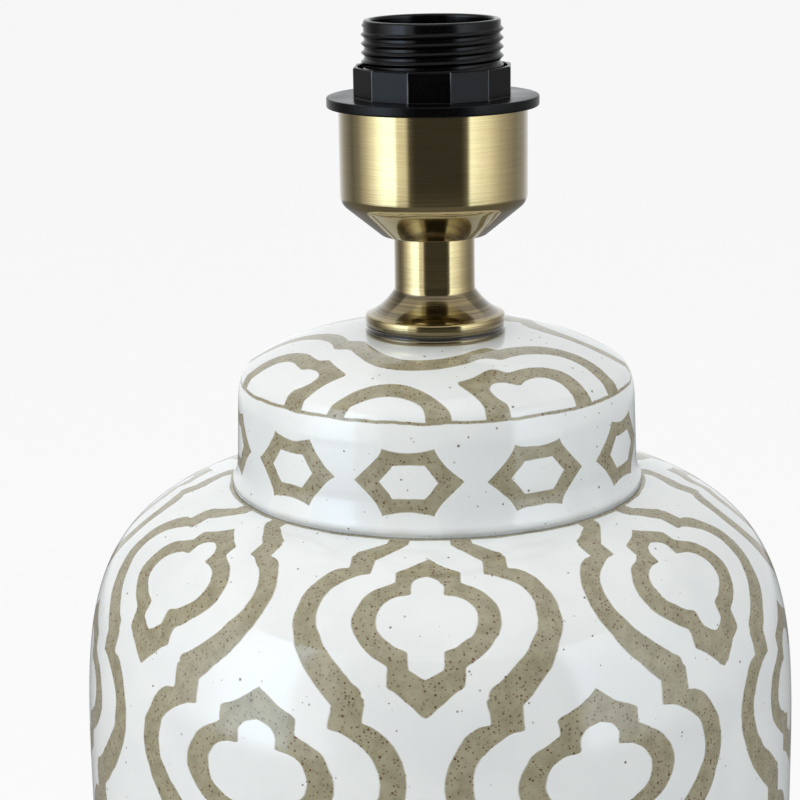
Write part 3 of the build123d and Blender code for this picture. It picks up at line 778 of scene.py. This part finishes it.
def make_bare_clay():
    """Unglazed stoneware, inside the jar and under its foot."""
    paint = Paint("bare stoneware", {"Roughness": 0.8})
    place = paint.place()
    grain = paint.noise(place, 400, 4)
    fine, coarse = clay_speckles(paint, place, paint.mask(grain, -1, 0))
    colour = paint.blend(paint.mask(grain, 0.35, 0.65), BARE_CLAY, BARE_CLAY_DEEP)
    colour = paint.blend(fine * 0.7, colour, BARE_FINE_SPECK)
    colour = paint.blend(coarse * 0.8, colour, BARE_COARSE_SPECK)
    paint.feed(Base_Color=colour, Roughness=paint.vary(grain, 0.7, 0.9))
    paint.bump(grain, 0.3, 0.0005)
    return paint


# Metal, plastic and rubber

BRASS, BRASS_BRIGHT = tone(157, 139, 92), tone(170, 152, 104)
BRASS_RINGED, BRASS_BLACKENED = tone(70, 59, 41), tone(32, 29, 24)
BLACK, WORN_AND_HIGHLIT_GREY = tone(2, 2, 3), tone(112, 116, 122)


def make_antique_brass():
    """Lacquered brass brushed round the lamp's axis, darkened in its recesses."""
    lacquer = {"Coat Weight": 1.0, "Coat Roughness": 0.06}
    paint = Paint("brushed antique brass", {"Metallic": 1.0, **lacquer})
    x, y, z = paint.axes(paint.place())
    radius = (x * x + y * y).maths("SQRT")
    turn = paint.maths("ARCTAN2", x, -y)
    streak = paint.noise(paint.joined(turn * 1.2, radius * 900, z * 2600), 1.0, 3, 0.6)
    broad = paint.noise(paint.joined(turn * 0.6, radius * 160, z * 420), 1.0, 2)
    rings = paint.noise(paint.joined(turn * 0.3, radius * 1500, z * 1500), 1.0, 2)
    height = z / MM - LAND_Z
    groove = paint.mask(abs(height - NECK_GROOVE), 0.9, 0.4)
    flare = paint.mask(height, NECK_FLARE_TOP + 0.05, NECK_FLARE_TOP - 0.3)
    flare = flare * paint.mask(height, NECK_SHOULDER - 0.2, NECK_SHOULDER + 0.6)
    worn = paint.mask(height, NECK_DRUM_TOP + 0.2, 2.4) * paint.span(broad, 0.3, 0.65, 0.45, 1.0)
    worn = worn * paint.mask(height, 0.0, 0.8)
    ringed = flare * paint.span(rings, 0.35, 0.65, 0.35, 1.0)
    dark = groove | worn | ringed
    base = paint.blend(paint.mask(streak, 0.3, 0.72), BRASS, BRASS_BRIGHT)
    base = paint.blend(ringed * 0.8, base, BRASS_RINGED)
    base = paint.blend(groove | worn * 0.85, base, BRASS_BLACKENED)
    roughness = paint.span(streak, 0.25, 0.75, 0.06, 0.11) + dark * 0.1
    paint.feed(Base_Color=base, Roughness=roughness)
    paint.bump(streak + flare * rings * 2.5, 0.07, 0.0002)
    return paint


def make_moulded(name, colour, roughness, grain_scale, grain_depth, shine=0.4, worn=None):
    """Moulded plastic or rubber with a fine uneven skin, and lighter edges if given a worn colour:
    wear, with a painted highlight along them.
    """
    paint = Paint(name, {"IOR": 1.45, "Specular IOR Level": shine})
    place = paint.place()
    grain = paint.noise(place, grain_scale, 3)
    patch = paint.noise(place, 60, 2)
    lighter = tuple(min(1, level * 1.6 + 0.001) for level in colour[:3]) + (1,)
    skin = paint.blend(paint.mask(grain, 0.3, 0.75), colour, lighter)
    # Lighter edges: partly wear, partly a painted highlight along them.
    if worn:
        wear_and_highlight = paint.measure("edge_wear") * paint.vary(patch, 0.6, 1.1)
        skin = paint.blend(paint.mask(wear_and_highlight, 0.45, 0.95), skin, worn)
    uneven = paint.vary(patch, roughness - 0.06, roughness + 0.08)
    paint.feed(Base_Color=skin, Roughness=uneven)
    paint.bump(grain, grain_depth, 0.0002)
    return paint


def make_metal(name, dark, bright, roughness, scale):
    """Small hardware: plated or bright metal with a faint uneven tone."""
    paint = Paint(name, {"Metallic": 1.0})
    place = paint.place()
    stain = paint.noise(place, scale, 3)
    fine = paint.noise(place, scale * 12, 2)
    paint.feed(
        Base_Color=paint.blend(paint.mask(stain, 0.3, 0.7), dark, bright),
        Roughness=paint.vary(fine, roughness - 0.07, roughness + 0.09),
    )
    paint.bump(fine, 0.08, 0.0001)
    return paint


glaze = make_glaze()
bare_clay = make_bare_clay()
antique_brass = make_antique_brass()
skirt_plastic = make_moulded("black skirt plastic", BLACK, 0.18, 700, 0.06, 0.22)
ring_plastic = make_moulded("black ring plastic", BLACK, 0.24, 900, 0.1, 0.15, WORN_AND_HIGHLIT_GREY)
cap_plastic = make_moulded("black cap plastic", tone(20, 20, 21), 0.4, 800, 0.15)
rubber = make_moulded("black rubber", tone(28, 28, 28), 0.7, 1200, 0.3)
fibre = make_moulded("grey fibre", tone(96, 92, 86), 0.85, 1500, 0.4)
insulator = make_moulded("white insulator", tone(222, 219, 210), 0.35, 500, 0.1)
zinc_steel = make_metal(
    "zinc-plated steel", tone(150, 152, 154), tone(186, 188, 188), 0.32, 160
)
bright_brass = make_metal("bright brass", tone(186, 150, 78), tone(214, 178, 104), 0.26, 200)
contact_bronze = make_metal("contact bronze", tone(176, 124, 74), tone(206, 154, 98), 0.28, 220)

# The jar

jar = make_jar()
dressed(jar, [glaze, bare_clay], "lamp_base", "ceramic_jar")

# The neck: a grooved drum, a flare and a straight stem

drum_top = (NECK_DRUM_RADIUS, LAND_Z + NECK_DRUM_TOP)
shoulder = (NECK_SHOULDER_RADIUS, LAND_Z + NECK_SHOULDER)
flare_top = (NECK_RADIUS, LAND_Z + NECK_FLARE_TOP)
neck_outline = rounded(
    (TUBE_HOLE, LAND_Z + NECK_RECESS), (NECK_RECESS_RADIUS, LAND_Z + NECK_RECESS),
    (NECK_RECESS_RADIUS, LAND_Z), (20.2, LAND_Z, 0.3), (20.3, LAND_Z + 1.1, 0.35),
    (19.8, LAND_Z + 1.5, 0.2), (19.85, LAND_Z + 2.3, 0.3), (NECK_DRUM_RADIUS, LAND_Z + 2.8, 0.3),
)
neck_outline += straight(4, (NECK_DRUM_RADIUS, LAND_Z + 3.1), drum_top)
neck_outline += bezier(8, drum_top, (NECK_DRUM_RADIUS, LAND_Z + 5.8), shoulder)
neck_outline += bezier(16, shoulder, (15.2, LAND_Z + 7.6), flare_top)
neck_outline += straight(8, flare_top, (NECK_RADIUS, NECK_TOP_Z))
neck_outline += [(TUBE_HOLE, NECK_TOP_Z)]
neck = piece("neck", spun(neck_outline, 160), 35)
dressed(neck, [antique_brass], "lamp_base", "neck_spindle")

# The cup: a cone below a straight wall

cup_outline = rounded(
    (TUBE_HOLE, NECK_TOP_Z), (CUP_FLOOR_RADIUS, NECK_TOP_Z, 0.5),
    (CUP_RADIUS, NECK_TOP_Z + 9.6, 2.2), (CUP_RADIUS, CUP_RIM_Z, 0.3),
    (CUP_INSIDE, CUP_RIM_Z, 0.3), (CUP_INSIDE, NECK_TOP_Z + 10, 1.8),
    (14.9, NECK_TOP_Z + 1, 0.5), (TUBE_HOLE, NECK_TOP_Z + 1),
)
cup = piece("cup", spun(cup_outline, 192), 35)
dressed(cup, [antique_brass], "lamp_base", "lampholder_cup")

# The skirt, with the shade thread outside and the lamp thread inside

SHADE_THREAD = {"pitch": 2.5, "turns": 8, "start_z": 398.55, "start_angle": 205.0, "root": 19.1}
LAMP_THREAD = {"pitch": 3.629, "turns": 4, "start_z": 393.8, "start_angle": 30.0, "root": 13.5}
skirt_outline = rounded(
    (SKIRT_RADIUS, SKIRT_FOOT_Z, 0.3), (SKIRT_RADIUS, 395.5, 0.3), (THREAD_CORE_RADIUS, CUP_RIM_Z),
    (THREAD_CORE_RADIUS, 416.4, 0.1), (SKIRT_RIM_RADIUS, 416.8, 0.1),
    (SKIRT_RIM_RADIUS, RIM_Z, 0.9), (SKIRT_MOUTH_RADIUS, RIM_Z, 0.9),
    (SKIRT_MOUTH_RADIUS, RIM_Z - 7.5, 0.4), (LAMP_BORE_RADIUS, 409.9), (LAMP_BORE_RADIUS, 392.0),
    (15.5, 391.6), (15.5, 386.3), (SKIRT_INSIDE, 386.0), (SKIRT_INSIDE, SKIRT_FOOT_Z),
)
shade_section = [(18.9, -1.15), (19.95, -0.14), (20.0, 0), (19.95, 0.14), (18.9, 1.15)]
lamp_section = [(13.5, 1.4), (12.35, 0.6), (12.35, -0.6), (13.5, -1.4)]
mesh = merged(
    spun(skirt_outline, 192),
    helix_ridge(shade_section, **SHADE_THREAD),
    helix_ridge(lamp_section, **LAMP_THREAD),
)
skirt = piece("skirt", mesh, 40)
dressed(skirt, [skirt_plastic], "lampholder_skirt", "lampholder_skirt")

# The shade ring: a flange and a twelve-sided collar, its corners painted lighter for wear and a
# painted highlight

FACET = FULL_TURN / 12
COLLAR_TURN = math.radians(12.5 - 90)
COLLAR_REACH = (21.6, 24.5)
WEAR_AND_HIGHLIGHT_REACH = math.radians(0.5)
ring_outline = rounded(
    (RING_BORE_RADIUS, CUP_RIM_Z), (FLANGE_RADIUS, CUP_RIM_Z, 0.5),
    (FLANGE_RADIUS, FLANGE_TOP_Z, 0.5), (26, FLANGE_TOP_Z), (COLLAR_RADIUS, FLANGE_TOP_Z, 0.4),
    (COLLAR_RADIUS, COLLAR_TOP_Z, 0.5), (COLLAR_INSIDE, COLLAR_TOP_Z, 0.3),
    (COLLAR_INSIDE, COLLAR_TOP_Z - 2.5), (RING_BORE_RADIUS, COLLAR_TOP_Z - 2.8),
)
mesh = spun(ring_outline, 240)
turned(mesh, mesh.verts, COLLAR_TURN)
edge_wear = mesh.verts.layers.float.new("edge_wear")
for vert in mesh.verts:
    radius = vert.co.xy.length / MM
    if COLLAR_REACH[0] < radius < COLLAR_REACH[1] and vert.co.z / MM > FLANGE_TOP_Z - 0.1:
        angle = math.atan2(vert.co.y, vert.co.x) - COLLAR_TURN
        from_corner = abs((angle + FACET / 2) % FACET - FACET / 2)
        vert.co.xy *= math.cos(FACET / 2) / math.cos(FACET / 2 - from_corner)
        # The collar's corners get the lighter colour: partly wear, partly a painted highlight.
        if from_corner < WEAR_AND_HIGHLIGHT_REACH:
            vert[edge_wear] = 1.0
ring = piece("ring", mesh, 24)
dressed(ring, [ring_plastic], "shade_ring", "shade_ring")

# Finishes on the hardware that keeps its own shape

finishes = {
    rubber: ("rubber_feet", "inner_rubber_washer"),
    cap_plastic: ("cord_bush", "lampholder_cap"),
    fibre: ("neck_gasket",),
    insulator: ("contact_carrier",),
    bright_brass: ("centre_terminal", "side_terminal"),
    contact_bronze: ("centre_contact_leaf", "side_contact_leaf"),
    zinc_steel: (
        "threaded_tube", "inner_plate_washer", "inner_lock_washer", "inner_hex_nut",
        "cup_lock_washer", "cup_lock_nut", "cap_set_screw", "terminal_screws",
    ),
}
for finish, names in finishes.items():
    for name in names:
        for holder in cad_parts[name].material_slots:
            holder.material = finish.material


# Floor, air and curtain

BACKDROP = 0.94
SOFT_AIR = 0.55
FLOOR_SIZE = 30
FLOOR_GLOW_SHARE = 0.88
CURTAIN_RADIUS = 1.6
CURTAIN_HEIGHT = 2.8
CURTAIN_MIDDLE = 0.2


def stage_piece(name, mesh, paint):
    """A piece of the studio, not part of the lamp."""
    made = piece(name, mesh)
    made.data.materials.append(paint.material)
    return made


floor_paint = Paint("pale floor", {"Base Color": grey(0.8), "Roughness": 0.9})
glow = floor_paint.node("ShaderNodeEmission", None, {"Color": grey(0.99), "Strength": 1.0})
lit = Reading(floor_paint, floor_paint.shader.outputs[0])
seen = floor_paint.mixed_shader(floor_paint.backdrop_share() * FLOOR_GLOW_SHARE, lit, glow)
underneath = floor_paint.node("ShaderNodeNewGeometry", output="Backfacing")
clear = floor_paint.node("ShaderNodeBsdfTransparent")
floor_surface = floor_paint.mixed_shader(underneath, seen, clear)
floor_output = floor_paint.tree.nodes["Material Output"]
floor_paint.tree.links.new(floor_surface.socket, floor_output.inputs["Surface"])
mesh = bmesh.new()
bmesh.ops.create_grid(mesh, x_segments=1, y_segments=1, size=FLOOR_SIZE)
floor = stage_piece("floor", mesh, floor_paint)
floor.visible_glossy = False

world = bpy.data.worlds.new("studio")
world.use_nodes = True
bpy.context.scene.world = world
sky = Tree(world.node_tree)
air = sky.tree.nodes["Background"]
air.inputs["Color"].default_value = grey(1)
strength = sky.span(sky.backdrop_share(), 0, 1, SOFT_AIR, BACKDROP)
sky.tree.links.new(strength.socket, air.inputs["Strength"])

# A curtain of light and dark strips all round, which only reflections see: degrees from the
# front, and the level there
curtain_levels = [
    (-180, 1.1), (-168, 1.0), (-155, 0.85), (-133, 0.45), (-114, 0.22), (-101, 0.42), (-88, 1.1),
    (-77, 2.0), (-62, 3.3), (-47, 3.4), (-44, 1.8), (-33, 1.5), (-29, 0.2), (-22, 0.07), (34, 0.07),
    (41, 0.3), (45, 2.6), (58, 2.1), (68, 1.8), (78, 1.3), (88, 0.9), (101, 0.6), (115, 0.4),
    (133, 0.45), (155, 0.75), (168, 0.95), (180, 1.1),
]
CURTAIN_FOOT = 0.22


def strip_colour(level):
    """The light of the curtain at one level: the brighter, the cooler."""
    return (level, level * (1 + 0.02 * level ** 2), level * (1 + 0.04 * level ** 2), 1)


curtain_paint = Paint(
    "studio curtain", {"Base Color": grey(0), "Roughness": 1.0, "Emission Strength": 1.0}
)
curtain_x, curtain_y, curtain_z = curtain_paint.axes(curtain_paint.place())
curtain_turn = curtain_paint.maths("ARCTAN2", curtain_x, -curtain_y) * (1 / FULL_TURN) + 0.5
strips = curtain_paint.node(
    "ShaderNodeValToRGB",
    {"stops": [(azimuth / 360 + 0.5, strip_colour(level)) for azimuth, level in curtain_levels]},
    {0: curtain_turn},
)
low_down = curtain_paint.mask(curtain_z, 0.06, -0.12)
curtain_light = curtain_paint.blend(low_down, strips, strip_colour(CURTAIN_FOOT))
curtain_paint.feed(Emission_Color=curtain_light)
mesh = bmesh.new()
bmesh.ops.create_cone(
    mesh, cap_ends=False, segments=96,
    radius1=CURTAIN_RADIUS, radius2=CURTAIN_RADIUS, depth=CURTAIN_HEIGHT,
)
bmesh.ops.translate(mesh, verts=mesh.verts, vec=(0, 0, CURTAIN_MIDDLE))
curtain = stage_piece("curtain", mesh, curtain_paint)
curtain.visible_camera = False
curtain.visible_diffuse = False
curtain.visible_shadow = False
curtain.visible_transmission = False


# Lamps and camera

AIM = Vector((0, 0, 0.3))
CAMERA_PLACE = (0, -0.62135, 0.4688)
CAMERA_LENS = 99.1
CAMERA_FRAME = 36.0
YAW = 0.97
PITCH = 14.31
ROLL = -0.88


def softbox(name, place, size, power, colour):
    """A rectangular lamp aimed at the jar's shoulder. The curtain shows in reflections instead."""
    lamp = bpy.data.lights.new(name, "AREA")
    lamp.shape = "RECTANGLE"
    lamp.size, lamp.size_y = size
    lamp.energy = power
    lamp.color = colour
    made = bpy.data.objects.new(name, lamp)
    made.location = place
    made.rotation_euler = (AIM - made.location).to_track_quat("-Z", "Y").to_euler()
    made.visible_glossy = False
    bpy.context.scene.collection.objects.link(made)


softbox("left softbox", (-1.1, -0.5, 0.6), (0.8, 1.2), 4.2, (1, 1, 1))
softbox("right softbox", (1.2, -0.3, 0.2), (0.8, 1.2), 2.9, (0.92, 0.97, 1))
softbox("overhead softbox", (-0.2, -0.2, 1.6), (2.0, 2.0), 10.2, (1, 0.975, 0.92))

camera = bpy.data.objects.new("camera", bpy.data.cameras.new("camera"))
camera.data.lens = CAMERA_LENS
camera.data.sensor_width = CAMERA_FRAME
camera.location = CAMERA_PLACE
camera.rotation_mode = "QUATERNION"
camera.rotation_quaternion = (
    Matrix.Rotation(math.radians(YAW), 3, "Z")
    @ Matrix.Rotation(math.radians(90 - PITCH), 3, "X")
    @ Matrix.Rotation(math.radians(ROLL), 3, "Z")
).to_quaternion()
bpy.context.scene.collection.objects.link(camera)
bpy.context.scene.camera = camera
bpy.context.scene.view_settings.view_transform = "Standard"
